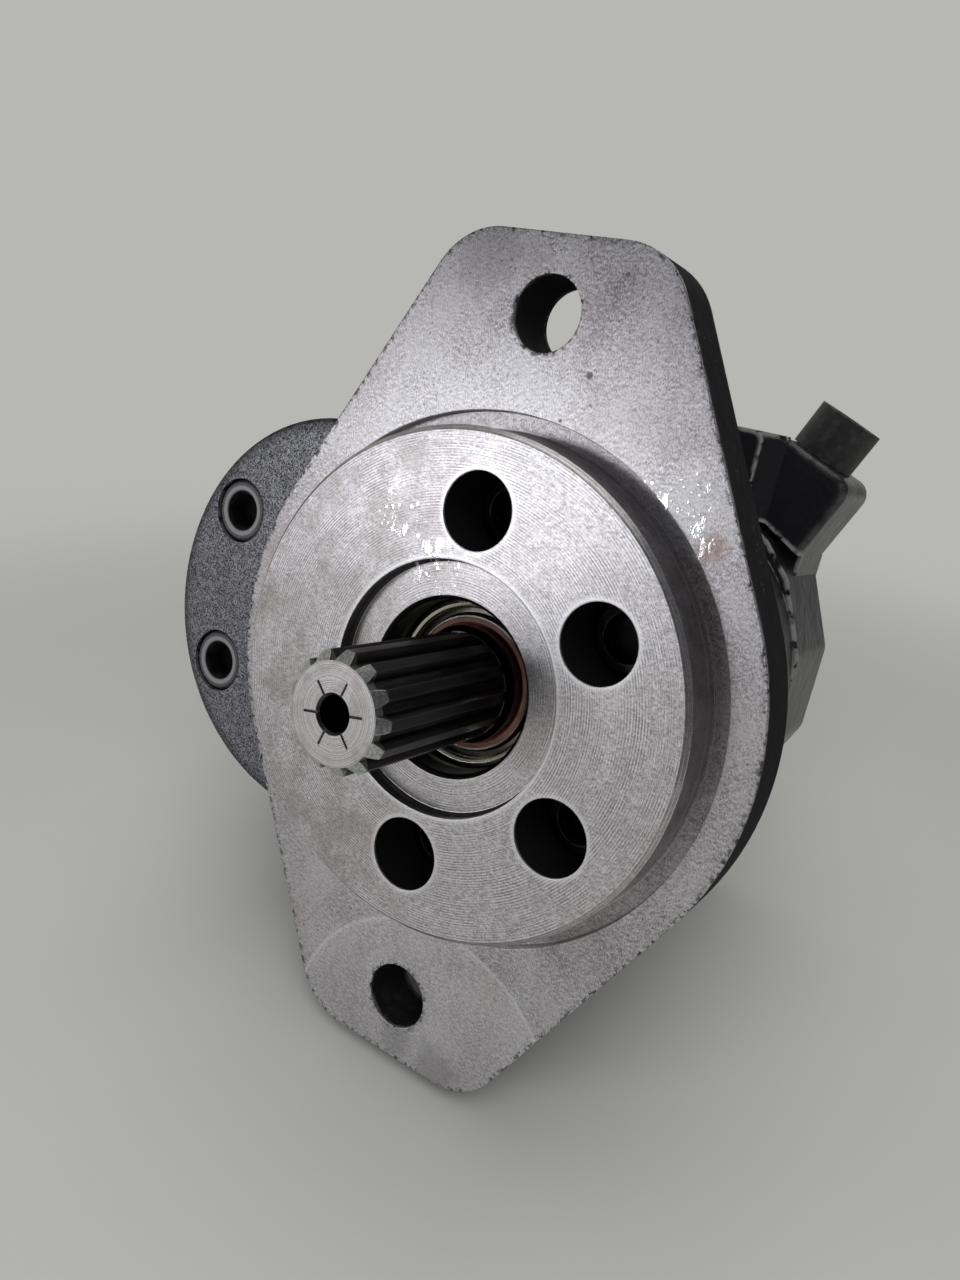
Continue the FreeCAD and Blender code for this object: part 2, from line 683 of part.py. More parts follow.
def journal_bushing(at_front, centre):
    front, back = block_span(at_front)
    start = (front + back - BUSHING_LENGTH) / 2
    return tube(BUSHING_OUTER_R, BUSHING_INNER_R, start, start + BUSHING_LENGTH, centre)


def block_backup(at_front):
    """The stiff ring at the bottom of the block's seal groove."""
    front, back = block_span(at_front)
    half = BLOCK_SEAL_HALF - SEAL_SIDE_GAP
    if at_front:
        floor = front + BLOCK_GROOVE_DEPTH
        return block_seal_band(half, floor - BACKUP_THICK, floor)
    floor = back - BLOCK_GROOVE_DEPTH
    return block_seal_band(half, floor, floor + BACKUP_THICK)


def block_seal(at_front):
    front, back = block_span(at_front)
    half = BLOCK_SEAL_HALF - SEAL_SIDE_GAP
    if at_front:
        return block_seal_band(half, front, front + BLOCK_GROOVE_DEPTH - BACKUP_THICK)
    return block_seal_band(half, back - BLOCK_GROOVE_DEPTH + BACKUP_THICK, back)


def section_seal(front, back):
    return racetrack(SECTION_SEAL_R, SECTION_SEAL_HALF - SEAL_SIDE_GAP, front, back)


def make_shaft_seal_case():
    """Pressed metal can with a rolled front rim."""
    outer = SEAL_BORE_R - SEAL_FIT
    back = SEAL_FRONT + SEAL_WIDTH
    rim = [(outer - inward, SEAL_FRONT + depth) for inward, depth in CASE_RIM]
    return turned([(outer, back)] + rim + [(outer - CASE_WALL, back)])


def make_shaft_seal_inner_case():
    """The seal's inner ring: a dished web that ends in a thin collar around the lip."""
    outer = SEAL_BORE_R - SEAL_FIT - INNER_CASE_GAP
    inner = outer - INNER_CASE_SHEET
    section = [(outer, INNER_CASE_BACK), (outer, INNER_CASE_FRONT)]
    section += INNER_CASE_COLLAR
    section += [(inner, INNER_CASE_INSIDE), (inner, INNER_CASE_BACK)]
    return turned([(radius, SEAL_FRONT + depth) for radius, depth in section])


def make_shaft_seal_lip():
    """Rubber lip: a dust edge towards the shaft's end and a sprung edge towards the oil."""
    edge_r = JOURNAL_R + LIP_GAP
    section = LIP_OUTSIDE + [(edge_r, OIL_LIP_DEPTH)]
    section += LIP_INSIDE + [(edge_r, DUST_LIP_DEPTH), LIP_NOSE]
    return turned([(radius, SEAL_FRONT + depth) for radius, depth in section])


def make_shaft_seal_garter_spring():
    return Part.makeTorus(GARTER_R, GARTER_WIRE_R, place(0, 0, SEAL_FRONT + GARTER_DEPTH), ALONG)


# ---------------------------------------------------------------- fasteners and plug

def cap_screw(spot, seat, direction):
    """A socket head cap screw: its head bears on depth seat and its shank runs in direction."""
    axis = Vector(0, direction, 0)
    base = place(spot[0], spot[1], seat)
    top = base - axis * SCREW_HEAD
    shank = Part.makeCylinder(SCREW_R, SCREW_LENGTH, base, axis)
    head = Part.makeCylinder(SCREW_HEAD_R, SCREW_HEAD, top, axis)
    head = chamfered(head, SCREW_HEAD_CHAMFER, lambda edge: lies_at(edge, top.y))
    corner = SCREW_HEX / math.sqrt(3)
    outline = [place(*polar(corner, 60 * number, spot), top.y) for number in range(7)]
    socket = Part.Face(Part.makePolygon(outline)).extrude(axis * SCREW_HEX_DEPTH)
    mouth = Part.makeCone(SCREW_MOUTH_R, SCREW_MOUTH_R - SCREW_MOUTH_DEPTH, SCREW_MOUTH_DEPTH, top, axis)
    return shank.fuse(head).cut([socket, mouth]).removeSplitter()


def make_front_cap_screws():
    return Part.makeCompound([cap_screw(spot, SCREW_SEAT, 1) for spot in front_screws()])


def make_rear_cap_screws():
    return Part.makeCompound([cap_screw(spot, REAR_SCREW_SEAT, -1) for spot in rear_screws()])


def make_dowel_pins():
    pins = []
    for joint_y in (COVER_BACK, HOUSING_BACK):
        for spot in dowel_places():
            pin = rod(DOWEL_R, joint_y - DOWEL_HALF_LENGTH, joint_y + DOWEL_HALF_LENGTH, spot)
            pins.append(chamfered(pin, DOWEL_CHAMFER, lambda edge: edge.BoundBox.YLength < 0.01))
    return Part.makeCompound(pins)


def make_drain_port_plug():
    """Hollow plastic shipping plug: a plain round head outside and a shank in the port."""
    face = DRAIN_FACE + 0.05
    head = drain_rod(PLUG_HEAD_R, face, face + PLUG_HEAD)
    shank = drain_rod(DRAIN_PORT_R - PLUG_FIT, face - PLUG_SHANK, face + 1)
    floor = face - PLUG_SHANK + PLUG_WALL
    hollow = drain_rod(DRAIN_PORT_R - PLUG_FIT - PLUG_WALL, floor, face + PLUG_HEAD + 1)
    return head.fuse(shank).cut(hollow)


NODES = {
    "front_cover": make_front_cover(),
    "gear_housing": make_gear_housing(),
    "rear_cover": make_rear_cover(),
    "drive_gear_shaft": make_drive_gear_shaft(),
    "driven_gear_shaft": make_driven_gear_shaft(),
    "shaft_seal_case": make_shaft_seal_case(),
    "shaft_seal_inner_case": make_shaft_seal_inner_case(),
    "shaft_seal_lip": make_shaft_seal_lip(),
    "shaft_seal_garter_spring": make_shaft_seal_garter_spring(),
    "front_section_seal": section_seal(COVER_BACK - SECTION_GROOVE_DEPTH, COVER_BACK),
    "rear_section_seal": section_seal(HOUSING_BACK, HOUSING_BACK + SECTION_GROOVE_DEPTH),
    "front_cap_screws": make_front_cap_screws(),
    "rear_cap_screws": make_rear_cap_screws(),
    "dowel_pins": make_dowel_pins(),
    "drain_port_plug": make_drain_port_plug(),
}
for end, at_front in (("front", True), ("rear", False)):
    NODES[end + "_bushing_block"] = bushing_block(at_front)
    NODES[end + "_block_seal"] = block_seal(at_front)
    NODES[end + "_block_backup_ring"] = block_backup(at_front)
    NODES[end + "_drive_bushing"] = journal_bushing(at_front, DRIVE)
    NODES[end + "_driven_bushing"] = journal_bushing(at_front, DRIVEN)

os.makedirs("parts", exist_ok=True)
for name, shape in NODES.items():
    shape.exportStep(os.path.join("parts", name + ".step"))
    print(name, "solids", len(shape.Solids), "valid", shape.isValid(), "volume", round(shape.Volume))
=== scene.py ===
import math

import bmesh
import bpy
from mathutils import Euler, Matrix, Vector


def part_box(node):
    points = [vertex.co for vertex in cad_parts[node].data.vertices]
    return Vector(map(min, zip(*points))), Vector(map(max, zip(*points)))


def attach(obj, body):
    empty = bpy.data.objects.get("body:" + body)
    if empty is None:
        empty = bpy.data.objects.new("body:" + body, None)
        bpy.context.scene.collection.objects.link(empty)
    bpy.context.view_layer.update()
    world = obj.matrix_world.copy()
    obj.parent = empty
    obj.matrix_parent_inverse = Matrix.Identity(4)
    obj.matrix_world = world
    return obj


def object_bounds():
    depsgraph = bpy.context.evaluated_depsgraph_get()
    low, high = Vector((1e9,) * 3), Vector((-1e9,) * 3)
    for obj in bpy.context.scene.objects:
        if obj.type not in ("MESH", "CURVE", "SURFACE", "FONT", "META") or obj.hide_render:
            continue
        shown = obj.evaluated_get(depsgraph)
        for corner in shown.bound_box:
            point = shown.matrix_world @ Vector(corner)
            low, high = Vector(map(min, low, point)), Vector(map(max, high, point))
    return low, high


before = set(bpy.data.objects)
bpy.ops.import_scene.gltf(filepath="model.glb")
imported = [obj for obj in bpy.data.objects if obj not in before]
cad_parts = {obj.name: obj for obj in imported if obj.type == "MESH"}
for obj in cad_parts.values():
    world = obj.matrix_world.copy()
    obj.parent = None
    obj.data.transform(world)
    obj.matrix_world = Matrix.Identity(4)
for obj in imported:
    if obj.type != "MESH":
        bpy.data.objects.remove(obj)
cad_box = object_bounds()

# The part's own frame: the drive shaft turns about Y, the mounting face is at Y = 0,
# the flange holes lie along Z.  Materials work in millimetres, objects in metres.
MM = 0.001

# Sizes that the looks follow, in millimetres
PILOT_R = 50.8
GROOVE_R = 54.6
GROOVE_FLOOR = 2.35
PILOT_FACE = -9.5
RECESS_R = 25.5
SEAL_BORE_R = 18.4
COUNTERBORE_RING = (26.6, 44.2)
DRIVEN_X = -42.0
LOBE_R = 45.5
FEED_PITCH = 0.55
FLANGE_BACK = 14.5
SHAFT_TIP = -41.0
SPLINE_END = -2.5
SPLINE_CHAMFER = 1.9
SPLINE_ROOT_R = 9.1
SPLINE_TIP_R = 10.9
PORT_R = 10.25
PORT_DEPTH = 20.0
PORT_PITCH = 1.814
PORT_Y = 96.0
MID_X = -21.0
LOBE_SCREWS = ((-72.02, 18.76), (-72.02, -18.76))

BLACK = (0.0075, 0.0077, 0.0090)
# Light grey of paint rubbed through on edges, also used as painted highlight along them
RUBBED_AND_HIGHLIT_PAINT = (0.42, 0.42, 0.41)


class Graph:
    """The node tree of one material.  Lengths in it are millimetres in the part's frame."""

    def __init__(self, name):
        self.material = bpy.data.materials.new(name)
        self.material.use_nodes = True
        self.tree = self.material.node_tree
        self.shader = self.tree.nodes["Principled BSDF"]
        where = self.add("ShaderNodeTexCoord")
        self.place = self.scaled(where.outputs["Object"], 1 / MM)
        self.x, self.y, self.z = self.split(self.place)
        self.facing = self.split(where.outputs["Normal"])

    def add(self, kind, **settings):
        node = self.tree.nodes.new(kind)
        for name, value in settings.items():
            setattr(node, name, value)
        return node

    def feed(self, socket, value):
        if isinstance(value, bpy.types.NodeSocket):
            self.tree.links.new(value, socket)
        elif hasattr(value, "__len__") and len(value) == 3 and len(socket.default_value) == 4:
            socket.default_value = (*value, 1.0)
        else:
            socket.default_value = value

    def split(self, vector):
        node = self.add("ShaderNodeSeparateXYZ")
        self.feed(node.inputs[0], vector)
        return tuple(node.outputs)

    def joined(self, x, y, z):
        node = self.add("ShaderNodeCombineXYZ")
        for socket, value in zip(node.inputs, (x, y, z)):
            self.feed(socket, value)
        return node.outputs[0]

    def scaled(self, vector, factor):
        node = self.add("ShaderNodeVectorMath", operation="SCALE")
        self.feed(node.inputs[0], vector)
        self.feed(node.inputs["Scale"], factor)
        return node.outputs[0]

    def maths(self, operation, *values):
        node = self.add("ShaderNodeMath", operation=operation)
        for socket, value in zip(node.inputs, values):
            self.feed(socket, value)
        return node.outputs[0]

    def times(self, first, *others):
        for other in others:
            first = self.maths("MULTIPLY", first, other)
        return first

    def plus(self, first, *others):
        for other in others:
            first = self.maths("ADD", first, other)
        return first

    def minus(self, first, second):
        return self.maths("SUBTRACT", first, second)

    def either(self, first, *others):
        for other in others:
            first = self.maths("MAXIMUM", first, other)
        return first

    def opposite(self, mask):
        return self.maths("SUBTRACT", 1.0, mask)

    def step(self, value, low, high, start=0.0, end=1.0):
        """start below low, end above high, smooth between."""
        node = self.add("ShaderNodeMapRange", interpolation_type="SMOOTHSTEP")
        for socket, number in zip(node.inputs, (value, low, high, start, end)):
            self.feed(socket, number)
        return node.outputs[0]

    def below(self, value, limit, soft=0.1):
        return self.step(value, limit - soft, limit + soft, 1.0, 0.0)

    def above(self, value, limit, soft=0.1):
        return self.step(value, limit - soft, limit + soft)

    def radius(self, x=0.0, z=0.0):
        """Distance from the line along Y through (x, z)."""
        flat = self.joined(self.minus(self.x, x), 0.0, self.minus(self.z, z))
        node = self.add("ShaderNodeVectorMath", operation="LENGTH")
        self.feed(node.inputs[0], flat)
        return node.outputs["Value"]

    def noise(self, size, detail=2.0, rough=0.5, place=None, stretch=None, turn=0.0):
        """Noise whose blobs are about size millimetres across, from 0 to 1."""
        place = place or self.place
        if stretch:
            node = self.add("ShaderNodeMapping")
            self.feed(node.inputs["Vector"], place)
            node.inputs["Rotation"].default_value = (0.0, math.radians(turn), 0.0)
            node.inputs["Scale"].default_value = stretch
            place = node.outputs[0]
        node = self.add("ShaderNodeTexNoise")
        self.feed(node.inputs["Vector"], place)
        self.feed(node.inputs["Scale"], 1 / size)
        self.feed(node.inputs["Detail"], detail)
        self.feed(node.inputs["Roughness"], rough)
        return node.outputs[0]

    def line_noise(self, along, size, detail=2.0):
        node = self.add("ShaderNodeTexNoise", noise_dimensions="1D")
        self.feed(node.inputs["W"], self.times(along, 1 / size))
        self.feed(node.inputs["Detail"], detail)
        return node.outputs[0]

    def specks(self, size, share, soft=0.05):
        """Small round specks in a part of the cells of a Voronoi pattern."""
        node = self.add("ShaderNodeTexVoronoi")
        self.feed(node.inputs["Vector"], self.place)
        self.feed(node.inputs["Scale"], 1 / size)
        chosen = self.below(self.split(node.outputs["Color"])[0], share, 0.01)
        return self.times(chosen, self.below(node.outputs["Distance"], 0.28, soft))

    def mixed(self, factor, first, second):
        node = self.add("ShaderNodeMix", data_type="RGBA")
        for socket, value in zip((node.inputs[0], node.inputs[6], node.inputs[7]), (factor, first, second)):
            self.feed(socket, value)
        return node.outputs[2]

    def blended(self, factor, first, second):
        """The number first where factor is 0 and second where it is 1."""
        node = self.add("ShaderNodeMix", data_type="FLOAT")
        for socket, value in zip((node.inputs[0], node.inputs[2], node.inputs[3]), (factor, first, second)):
            self.feed(socket, value)
        return node.outputs[0]

    def rounded(self, size):
        """The normal that the surface has with its edges rounded to size millimetres."""
        node = self.add("ShaderNodeBevel", samples=6)
        node.inputs["Radius"].default_value = size * MM
        return node.outputs[0]

    def edges(self, size, low=0.10, high=0.36):
        """1 along outward edges and rounded corners, fading out within size millimetres."""
        node = self.add("ShaderNodeAmbientOcclusion", inside=True, only_local=True, samples=8)
        node.inputs["Distance"].default_value = size * MM
        return self.step(self.opposite(node.outputs["AO"]), low, high)

    def bump(self, height, depth, normal=None):
        """Relief where height goes from 0 to 1 over depth millimetres."""
        node = self.add("ShaderNodeBump")
        node.inputs["Strength"].default_value = 1.0
        self.feed(node.inputs["Distance"], depth * MM)
        self.feed(node.inputs["Height"], height)
        if normal is not None:
            self.feed(node.inputs["Normal"], normal)
        return node.outputs[0]

    def finish(self, colour, roughness, metallic, normal, specular=0.5):
        self.feed(self.shader.inputs["Base Color"], colour)
        self.feed(self.shader.inputs["Roughness"], roughness)
        self.feed(self.shader.inputs["Metallic"], metallic)
        self.feed(self.shader.inputs["Normal"], normal)
        self.shader.inputs["Specular IOR Level"].default_value = specular
        return self.material


def black_paint(g, edge_wear_and_highlight):
    """Gloss black enamel over a sand casting, rubbed along its edges, with light lines there that are partly painted
    highlight; the second argument sets how much.
    """
    broad = g.noise(9.0, 3.0)
    lump = g.noise(4.5, 2.0, 0.5)
    pebble = g.noise(1.5, 3.0, 0.55)
    peel = g.noise(0.42, 2.0)
    edges = g.edges(1.8)
    # Light-grey lines along outward edges and corners: rubbed paint, partly painted highlight
    corners = g.edges(1.9, 0.12, 0.30)
    rubbed_and_highlit_edge = g.times(corners, g.step(g.noise(3.2, 4.0, 0.6), 0.40, 0.54), edge_wear_and_highlight)
    scuff = g.times(g.step(g.noise(14.0, 2.0), 0.56, 0.70), g.step(g.noise(0.9, 4.0, 0.7), 0.60, 0.70))
    rubbed_and_highlit = g.either(rubbed_and_highlit_edge, g.times(scuff, 0.5))
    dust = g.times(g.step(g.facing[2], 0.2, 1.0), g.step(g.noise(3.0, 4.0, 0.6), 0.40, 0.75), 0.25)
    colour = g.mixed(broad, BLACK, (0.016, 0.016, 0.019))
    colour = g.mixed(g.times(dust, 0.35), colour, (0.16, 0.155, 0.15))
    colour = g.mixed(rubbed_and_highlit, colour, RUBBED_AND_HIGHLIT_PAINT)
    rough = g.plus(g.blended(broad, 0.22, 0.38), g.times(rubbed_and_highlit, 0.25), g.times(dust, 0.3))
    height = g.plus(g.times(lump, 0.8), g.times(pebble, 0.45), g.times(peel, 0.12))
    rounded = g.rounded(0.4)
    return colour, rough, g.times(rubbed_and_highlit, 0.3), g.bump(height, 0.30, rounded), edges, rounded


def painted_body():
    """Gloss black paint on the rear cover and gear housing, with bare machined port bores."""
    g = Graph("painted_body_black")
    colour, rough, metallic, normal = black_paint(g, 0.8)[:4]
    from_port = g.maths(
        "SQRT",
        g.plus(g.maths("POWER", g.minus(g.x, MID_X), 2.0), g.maths("POWER", g.minus(g.y, PORT_Y), 2.0)),
    )
    inside = g.times(g.below(from_port, PORT_R + 0.25, 0.1), g.below(g.maths("ABSOLUTE", g.z), 62.9, 0.15))
    iron = g.mixed(g.noise(0.8, 3.0), (0.12, 0.12, 0.12), (0.24, 0.235, 0.23))
    colour = g.mixed(inside, colour, iron)
    return g.finish(colour, g.blended(inside, rough, 0.36), g.either(metallic, inside), normal, 0.40)


def cast_front():
    """Front cover: ground flange face and turned pilot in bare iron, gloss black elsewhere."""
    g = Graph("front_cover_machined")
    from_shaft = g.radius()
    ragged = g.plus(g.y, g.times(g.minus(g.noise(1.6, 4.0, 0.65), 0.5), 0.9))
    plane = g.below(ragged, 0.42, 0.12)
    groove = g.times(g.below(from_shaft, GROOVE_R, 0.15), g.below(g.y, GROOVE_FLOOR, 0.05))
    front = g.below(g.facing[1], -0.85, 0.08)
    in_ring = g.times(g.above(from_shaft, COUNTERBORE_RING[0]), g.below(from_shaft, COUNTERBORE_RING[1]))
    counterbore = g.times(in_ring, g.above(g.y, PILOT_FACE + 0.35, 0.12))
    bore = g.times(g.below(from_shaft, SEAL_BORE_R + 0.3, 0.1), g.above(g.y, -5.9, 0.2))
    bare = g.times(g.either(plane, groove), g.opposite(counterbore))

    colour, rough, metallic, normal, edges, rounded = black_paint(g, 0.25)

    # Ground flange face: fine short streaks, broad clouds, dark pores and chipped outer edges
    on_flange = g.times(front, g.above(from_shaft, PILOT_R + 0.6, 0.2))
    grain = g.noise(0.27, 2.0, 0.6, stretch=(1.0, 1.0, 0.55), turn=24.0)
    fleck = g.noise(0.60, 2.0, 0.6, stretch=(0.5, 1.0, 1.0), turn=-30.0)
    cloud = g.noise(17.0, 4.0, 0.6)
    pores = g.specks(1.1, 0.10)
    speckle = g.plus(g.times(grain, 0.60), g.times(fleck, 0.40))
    tone = g.step(g.plus(g.times(speckle, 0.72), g.times(cloud, 0.28)), 0.36, 0.64)
    ground = g.mixed(tone, (0.215, 0.20, 0.212), (0.76, 0.735, 0.77))
    tarnish = g.step(g.noise(22.0, 4.0, 0.6), 0.48, 0.68)
    ground = g.mixed(g.times(tarnish, 0.30), ground, (0.40, 0.32, 0.30))
    ground = g.mixed(g.times(g.step(cloud, 0.40, 0.70), 0.30), ground, (0.36, 0.35, 0.37))
    ground = g.mixed(g.times(pores, 0.45), ground, (0.14, 0.13, 0.14))
    chips = g.times(edges, g.step(g.noise(1.3, 4.0, 0.65), 0.51, 0.56))
    outer_edge = g.above(from_shaft, 57.0, 1.0)
    ground = marked(g, ground)

    # Turned faces of the pilot and its recess: rings about the shaft
    feed = g.maths("SINE", g.times(from_shaft, 2 * math.pi / FEED_PITCH))
    unbroken = g.step(g.noise(6.0, 3.0, 0.6), 0.38, 0.64)
    rings = g.plus(g.times(feed, unbroken, 0.20), g.line_noise(from_shaft, 0.6, 3.0))
    hatch = g.noise(0.24, 2.0, 0.5, stretch=(0.40, 1.0, 1.0), turn=-38.0)
    mottle = g.noise(2.6, 4.0, 0.65)
    ring_tone = g.plus(g.times(rings, 0.34), g.times(hatch, 0.18), g.times(speckle, 0.38), g.times(mottle, 0.10))
    turned = g.mixed(g.step(ring_tone, 0.40, 0.60), (0.27, 0.253, 0.264), (0.79, 0.765, 0.79))
    film = g.times(g.step(g.noise(11.0, 5.0, 0.7), 0.42, 0.64), g.below(g.x, -2.0, 16.0))
    turned = g.mixed(g.times(film, 0.45), turned, (0.24, 0.205, 0.18))
    # Painted highlight: thin bright lines along the turned faces' outward edges
    turned = g.mixed(g.times(edges, 0.6), turned, (0.92, 0.91, 0.92))
    machined = g.mixed(on_flange, turned, ground)
    # Painted shade: the pilot's side and other sideways bare faces darkened
    side = g.times(g.opposite(front), g.above(from_shaft, RECESS_R + 0.6))
    machined = g.mixed(g.times(side, 0.25), machined, (0.22, 0.215, 0.20))
    # Painted highlight: a thin bright line on the pilot's side where it meets the flange plane
    foot = g.times(side, g.above(g.y, -0.45, 0.1), g.below(g.y, -0.10, 0.1), g.below(from_shaft, PILOT_R + 1.0))
    machined = g.mixed(g.times(foot, 0.8), machined, (0.94, 0.93, 0.92))
    # Painted shade: the recess wall and the seal bore painted near black
    recess_wall = g.times(g.opposite(front), g.below(from_shaft, RECESS_R + 0.3))
    machined = g.mixed(g.times(recess_wall, 0.93), machined, (0.016, 0.018, 0.017))
    machined = g.mixed(g.times(bore, 0.95), machined, (0.018, 0.024, 0.020))

    # Painted shadow: the groove floor around the pilot darkened
    deep = g.times(front, g.above(g.y, 0.8), g.above(from_shaft, PILOT_R - 0.4))
    machined = g.mixed(g.times(deep, 0.35), machined, (0.085, 0.076, 0.074))
    # Oil drops and smears: glossy and raised, and whitened in colour as painted glints
    oil_and_glint = oil_and_glint_specks(g)
    machined = g.mixed(g.times(oil_and_glint, 0.75), machined, (0.96, 0.96, 0.98))

    # Driven lobe: thin paint that sparkles, its grey-blue flecks partly painted sheen, with painted shade darkening
    # it toward its rim
    lobe = g.times(front, g.above(g.y, 2.5), g.below(g.x, -45.0, 1.0))
    sheen = g.noise(0.36, 3.0, 0.65)
    rim = g.step(g.radius(DRIVEN_X, 0.0), LOBE_R - 4.0, LOBE_R - 0.5)
    lobe_sparkle_sheen_and_shade = g.mixed(g.step(sheen, 0.36, 0.66), (0.030, 0.030, 0.036), (0.33, 0.33, 0.365))
    lobe_sparkle_sheen_and_shade = g.mixed(g.times(rim, 0.65), lobe_sparkle_sheen_and_shade, (0.02, 0.02, 0.023))
    colour = g.mixed(lobe, colour, lobe_sparkle_sheen_and_shade)
    flange_side = g.times(g.opposite(front), g.below(g.y, FLANGE_BACK), g.above(from_shaft, 56.0))
    rough = g.blended(flange_side, g.blended(lobe, rough, 0.34), 0.85)
    colour = g.mixed(counterbore, colour, (0.010, 0.010, 0.011))
    rough = g.blended(counterbore, rough, 0.25)

    bare_rough = g.blended(on_flange, 0.30, 0.31)
    bare_rough = g.plus(bare_rough, g.times(g.minus(cloud, 0.5), 0.12), g.times(grain, 0.06))
    bare_rough = g.blended(oil_and_glint, bare_rough, 0.06)
    height = g.blended(on_flange, g.plus(g.times(rings, 0.5), g.times(hatch, 0.4), g.times(speckle, 0.6)), speckle)
    height = g.plus(height, g.times(oil_and_glint, 0.9), g.times(pores, -0.6))
    bare_normal = g.bump(height, 0.020, rounded)
    bare = g.times(bare, g.opposite(g.times(chips, outer_edge)))
    normals = g.add("ShaderNodeMix", data_type="VECTOR")
    g.feed(normals.inputs[0], bare)
    g.feed(normals.inputs[4], normal)
    g.feed(normals.inputs[5], bare_normal)
    return g.finish(
        g.mixed(bare, colour, machined),
        g.blended(bare, rough, bare_rough),
        g.either(g.times(bare, 0.97), metallic, g.times(lobe, 0.55)),
        normals.outputs[1],
        0.12,
    )


def marked(g, colour):
    """Stains, handling marks and a pale bluish patch on the flange's ground face, at their places on it."""
    warped = g.noise(3.0, 3.0, 0.6)
    # (x, z, radius, strength, colour)
    marks = (
        (-15.0, 84.0, 9.0, 0.40, (0.20, 0.19, 0.20)),
        (11.7, 63.5, 0.6, 0.85, (0.05, 0.05, 0.05)),
        (7.8, 54.6, 0.4, 0.85, (0.05, 0.05, 0.05)),
        (14.5, 81.5, 0.4, 0.70, (0.07, 0.07, 0.07)),
        (42.1, 39.2, 2.5, 0.62, (0.27, 0.15, 0.12)),
        (31.0, 37.0, 4.0, 0.30, (0.62, 0.66, 0.78)),
        (2.0, -82.5, 4.0, 0.35, (0.16, 0.15, 0.15)),
        (13.0, -84.0, 5.0, 0.45, (0.17, 0.16, 0.16)),
    )
    for x, z, size, strength, tint in marks:
        away = g.plus(g.radius(x, z), g.times(g.minus(warped, 0.5), size * 1.6))
        colour = g.mixed(g.times(g.below(away, size, size * 0.45), strength), colour, tint)
    washer = g.radius(8.0, -88.0)
    colour = g.mixed(g.times(g.below(washer, 34.4, 0.4), 0.14), colour, (0.95, 0.92, 0.93))
    line = g.times(g.above(washer, 34.0, 0.3), g.below(washer, 34.8, 0.3))
    return g.mixed(g.times(line, 0.30), colour, (0.95, 0.93, 0.94))


def oil_and_glint_specks(g):
    """Smeared oil and drops, where the bare metal is painted near white as glints: on the flange at its upper right,
    and on the pilot by the recess.
    """
    warp = g.times(g.minus(g.noise(6.0, 3.0), 0.5), 12.0)
    pools = [
        g.below(g.plus(g.radius(x, z), warp), size, 1.5)
        for x, z, size in ((35.5, 46.5, 6.0), (39.5, 40.5, 3.0), (-8.0, 22.0, 5.0), (-17.0, 31.0, 5.0))
    ]
    drops = g.either(g.specks(1.5, 0.20, 0.1), g.specks(0.8, 0.16, 0.1))
    smears = g.step(g.noise(2.2, 3.0, 0.6, stretch=(1.0, 1.0, 0.4), turn=50.0), 0.55, 0.60)
    return g.times(g.either(*pools), g.either(drops, g.times(smears, 0.85)))


def shaft_steel():
    """Hardened steel: dark satin splines, bright chamfers and a brushed end face."""
    g = Graph("shaft_hardened_steel")
    from_shaft = g.radius()
    front_part = g.below(g.y, SPLINE_END + 12.0, 0.2)
    journal = g.times(g.above(g.y, SPLINE_END, 0.3), front_part)
    end = g.below(g.y, SHAFT_TIP + 0.04, 0.03)
    chamfer = g.times(g.below(g.y, SHAFT_TIP + SPLINE_CHAMFER + 0.1, 0.1), g.opposite(end))
    tops = g.step(from_shaft, SPLINE_ROOT_R + 0.2, SPLINE_TIP_R - 0.2)
    grain = g.noise(0.5, 3.0, 0.6)
    along = g.noise(0.9, 3.0, 0.6, stretch=(1.0, 0.08, 1.0))
    dark = g.mixed(tops, (0.068, 0.065, 0.068), (0.115, 0.111, 0.115))
    dark = g.mixed(g.step(along, 0.45, 0.75), dark, (0.15, 0.135, 0.125))
    dark = g.mixed(journal, dark, (0.10, 0.095, 0.095))
    bright = g.mixed(g.step(grain, 0.3, 0.7), (0.30, 0.31, 0.30), (0.58, 0.60, 0.56))
    rings = g.line_noise(from_shaft, 0.8, 4.0)
    brushed = g.step(g.plus(g.times(rings, 0.78), g.times(grain, 0.22)), 0.34, 0.66)
    face = g.mixed(brushed, (0.34, 0.32, 0.33), (0.80, 0.775, 0.79))
    face = g.mixed(g.times(g.step(g.noise(3.0, 3.0), 0.5, 0.66), 0.35), face, (0.30, 0.27, 0.25))
    groove = g.times(g.above(g.y, SHAFT_TIP + 0.05, 0.04), g.below(from_shaft, 6.6), g.below(g.y, SHAFT_TIP + 0.5))
    bright = g.mixed(groove, bright, (0.16, 0.15, 0.145))
    ground = g.mixed(g.step(grain, 0.3, 0.7), (0.38, 0.38, 0.385), (0.58, 0.58, 0.59))
    colour = g.mixed(front_part, ground, dark)
    colour = g.mixed(chamfer, colour, bright)
    colour = g.mixed(end, colour, face)
    in_hole = g.times(g.below(from_shaft, 3.6, 0.1), front_part)
    colour = g.mixed(g.times(in_hole, 0.85), colour, (0.035, 0.032, 0.030))
    colour = g.mixed(g.times(g.edges(0.5), front_part, 0.45), colour, (0.55, 0.55, 0.54))
    rough = g.plus(g.blended(g.either(end, chamfer), 0.32, 0.27), g.times(grain, 0.12))
    rough = g.blended(journal, rough, 0.14)
    relief = g.plus(g.times(rings, end), g.times(along, g.opposite(journal), 0.6))
    normal = g.bump(relief, 0.012, g.rounded(0.16))
    return g.finish(colour, rough, 1.0, normal)


